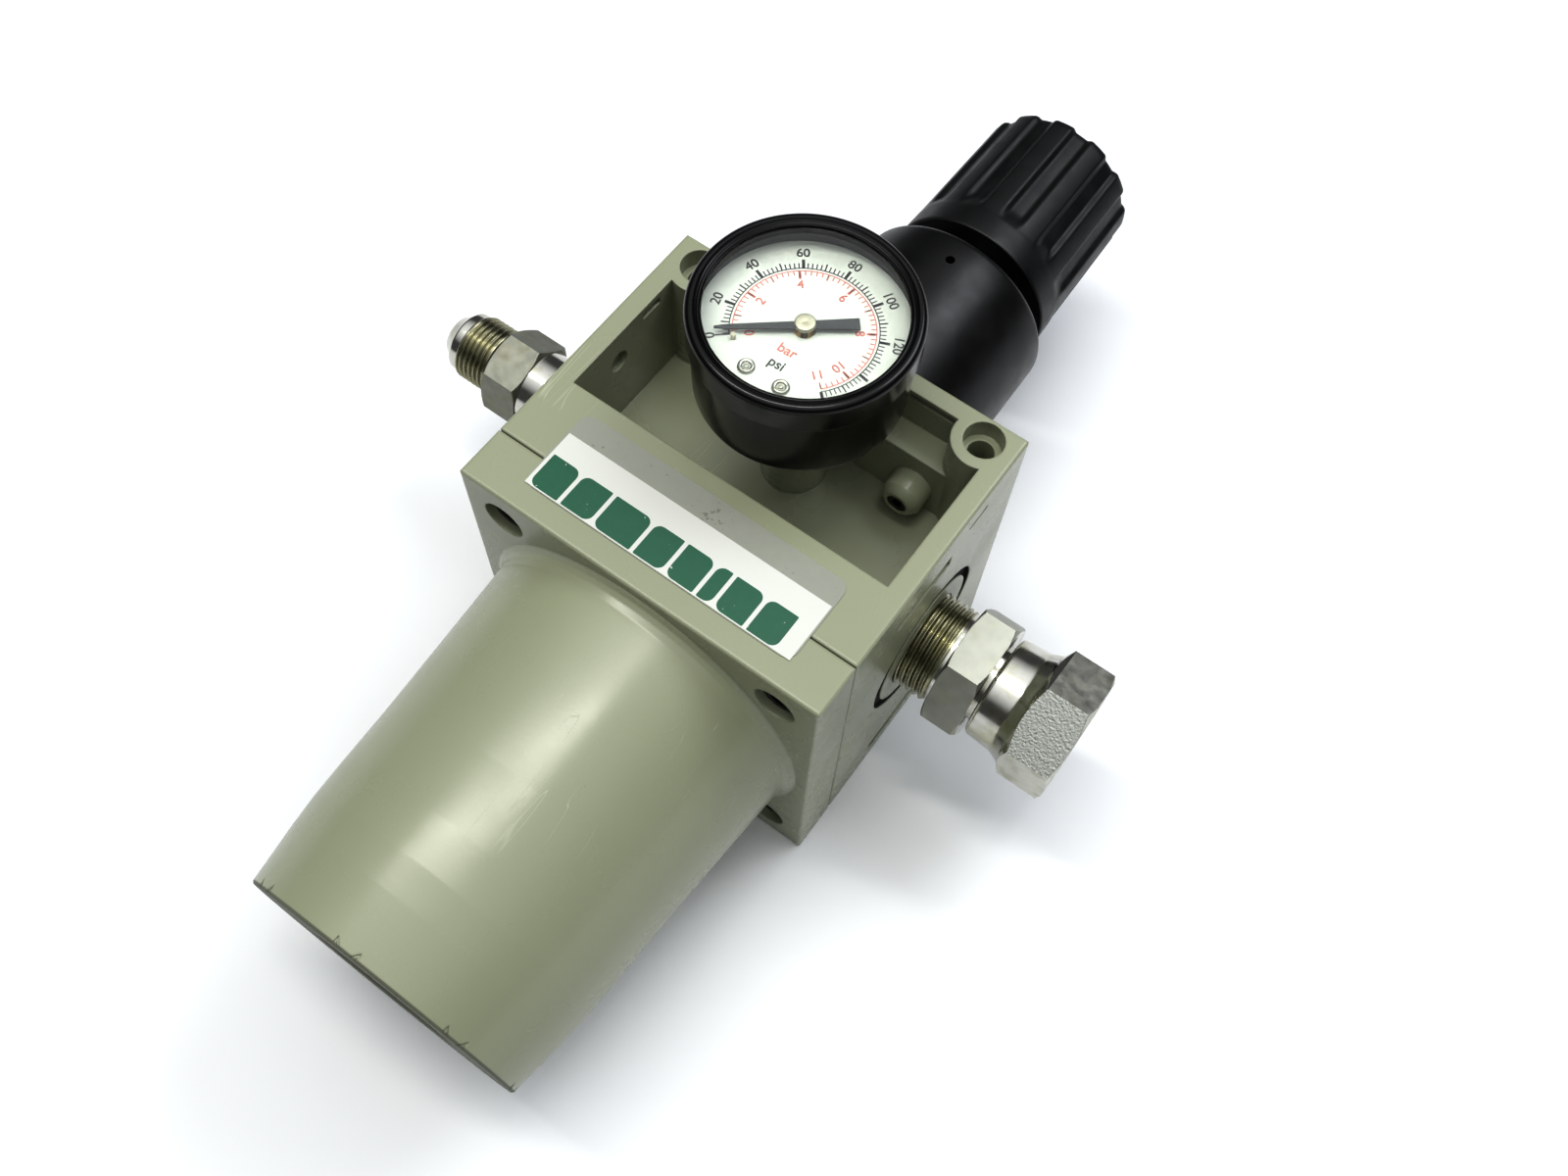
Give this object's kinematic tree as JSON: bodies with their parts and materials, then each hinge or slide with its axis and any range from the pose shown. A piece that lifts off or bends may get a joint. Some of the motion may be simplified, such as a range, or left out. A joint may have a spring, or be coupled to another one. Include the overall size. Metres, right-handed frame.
{
  "type": "air pressure regulator",
  "caption": "Compressed-air filter regulator: square painted body with metal bowl, black push-to-lock knob, front pressure gauge, threaded inlet fitting and outlet fitting with swivel nut.",
  "frame": {"origin": "on the flat back face of the body, under the crossing of the port axis and the main axis", "axes": "+X from the inlet to the outlet, +Y along the main axis from the bowl to the knob, +Z out of the gauge face; in service +Y points up"},
  "size_m": [0.2, 0.2935, 0.1323],
  "materials": {
    "body_paint": "die-cast, semi-gloss grey-green paint",
    "zinc_steel": "zinc-plated",
    "spring_steel": "bright",
    "screw_steel": "dark oxide",
    "brass": "machined",
    "black_plastic": "satin",
    "knob_plastic": "satin",
    "gauge_black": "gloss",
    "rubber": "matt",
    "white_plastic": "moulded",
    "filter_polymer": "sintered, porous",
    "lens": "clear",
    "dial_face": "white enamel",
    "dial_black": "black print",
    "dial_red": "red print",
    "pointer_black": "matt",
    "pointer_cap": "pale, satin",
    "label_silver": "metallised film",
    "label_white": "printed film",
    "label_green": "printed film"
  },
  "bodies": {
    "housing": {"body": "body_paint", "bowl": "body_paint", "bowl_screws": "screw_steel", "bowl_o_ring": "rubber", "label": "label_silver", "recess_plug": "screw_steel", "deflector": "white_plastic", "filter_seal": "rubber", "filter_element": "filter_polymer", "baffle": "white_plastic", "tie_rod": "zinc_steel", "baffle_nut": "zinc_steel", "drain_body": "brass", "valve_plug": "brass", "seat_insert": "brass", "valve_spring": "spring_steel", "main_spring": "spring_steel", "thrust_washer": "brass", "bonnet": "black_plastic", "inlet_adapter": "zinc_steel", "outlet_adapter": "zinc_steel", "gauge_socket": "brass", "gauge_case": "gauge_black", "gauge_bezel": "gauge_black", "gauge_lens": "lens", "gauge_dial": "dial_face", "dial_screws": "spring_steel", "stop_pin": "brass", "movement_frame": "brass", "movement_pillars": "spring_steel", "bourdon_tube": "brass", "gauge_link": "spring_steel"},
    "adjuster": {"adjusting_screw": "zinc_steel", "knob_clip": "spring_steel"},
    "knob": {"knob": "knob_plastic", "knob_cap": "knob_plastic"},
    "spring_nut": {"spring_nut": "zinc_steel"},
    "diaphragm_stack": {"diaphragm": "rubber", "relief_seat": "brass", "spring_plate": "zinc_steel", "plate_nut": "zinc_steel"},
    "valve": {"valve_poppet": "brass", "valve_face": "rubber", "valve_stem": "spring_steel"},
    "gauge_sector": {"gauge_sector": "brass"},
    "gauge_pointer": {"gauge_pointer": "pointer_black", "pointer_hub": "pointer_cap", "pointer_spindle": "spring_steel"},
    "swivel_nut": {"swivel_nut": "zinc_steel"},
    "drain_knob": {"drain_knob": "black_plastic"}
  },
  "joints": [
    {"name": "knob_turn", "type": "hinge", "parent": "housing", "child": "adjuster", "pos_m": [0, 0.083, 0.049], "axis": [0, -1, 0], "range_deg": [0, 2520], "deforming": ["main_spring"]},
    {"name": "knob_lock", "type": "slide", "parent": "adjuster", "child": "knob", "axis": [0, 1, 0], "range_m": [-0.005, 0]},
    {"name": "nut_travel", "type": "slide", "parent": "housing", "child": "spring_nut", "axis": [0, -1, 0], "range_m": [0, 0.0141], "deforming": ["main_spring"]},
    {"name": "diaphragm_travel", "type": "slide", "parent": "housing", "child": "diaphragm_stack", "axis": [0, -1, 0], "range_m": [0, 0.0015], "stiffness_N_per_m": 4000, "deforming": ["main_spring", "diaphragm", "valve_spring"]},
    {"name": "valve_lift", "type": "slide", "parent": "housing", "child": "valve", "axis": [0, -1, 0], "range_m": [0, 0.0015], "stiffness_N_per_m": 1500, "deforming": ["valve_spring"]},
    {"name": "sector_turn", "type": "hinge", "parent": "housing", "child": "gauge_sector", "pos_m": [-0.0085, 0.0042, 0.118], "axis": [0, 0, 1], "range_deg": [0, 26.3]},
    {"name": "pointer_turn", "type": "hinge", "parent": "housing", "child": "gauge_pointer", "pos_m": [0, 0.0127, 0.125], "axis": [0, 0, 1], "range_deg": [-263, 0]},
    {"name": "swivel_turn", "type": "hinge", "parent": "housing", "child": "swivel_nut", "pos_m": [0.085, 0, 0.049], "axis": [1, 0, 0], "continuous": true},
    {"name": "drain_turn", "type": "hinge", "parent": "housing", "child": "drain_knob", "pos_m": [0, -0.14, 0.049], "axis": [0, 1, 0], "range_deg": [0, 180]}
  ],
  "couplings": [
    {"joint": "nut_travel", "follows": "knob_turn", "m_per_rad": 0.00031831},
    {"joint": "valve_lift", "follows": "diaphragm_travel", "ratio": 1},
    {"joint": "pointer_turn", "follows": "sector_turn", "ratio": -10}
  ]
}
